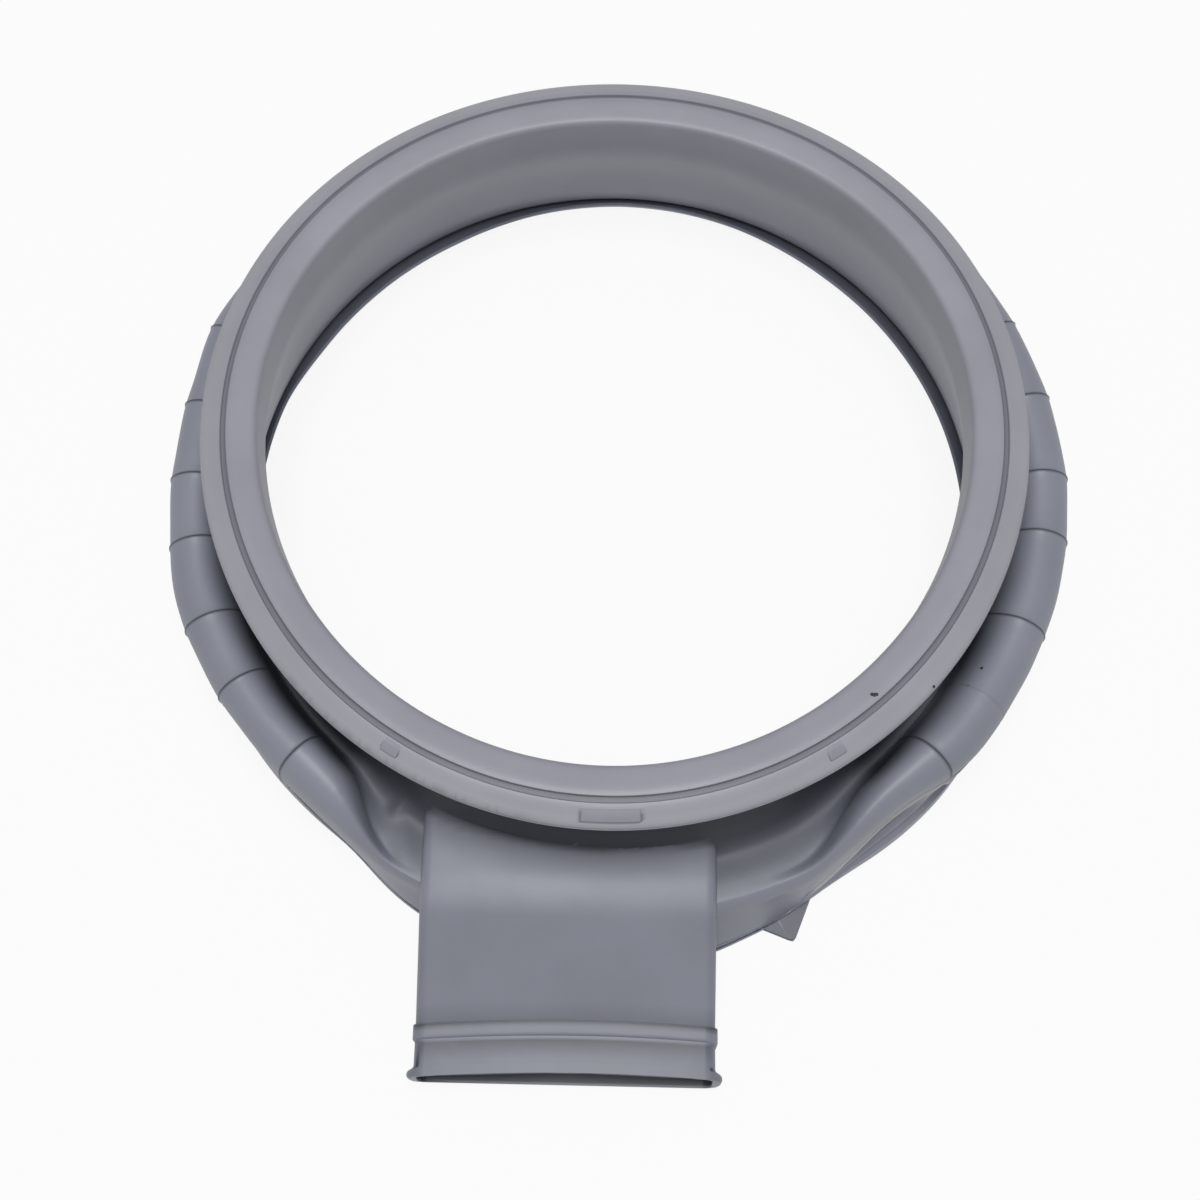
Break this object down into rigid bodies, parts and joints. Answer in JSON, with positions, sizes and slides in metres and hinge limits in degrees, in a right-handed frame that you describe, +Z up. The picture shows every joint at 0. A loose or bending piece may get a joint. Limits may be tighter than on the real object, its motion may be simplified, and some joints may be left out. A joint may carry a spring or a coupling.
{
  "type": "washing machine door seal",
  "caption": "Moulded rubber door seal with a front ring, a flared sleeve, a bellows roll, a rear rim with an inner lip and a flat air duct.",
  "frame": {"origin": "on the floor plane under the middle of the box around the seal, with its rear rim down", "axes": "+Z up along the ring's axis to the front ring, -Y toward the mouth of the air duct, +X to the right seen from the mouth"},
  "size_m": [0.4262, 0.4836, 0.113],
  "materials": {
    "rubber": "matt moulded rubber"
  },
  "bodies": {
    "root": {"door_seal": "rubber"}
  },
  "joints": []
}
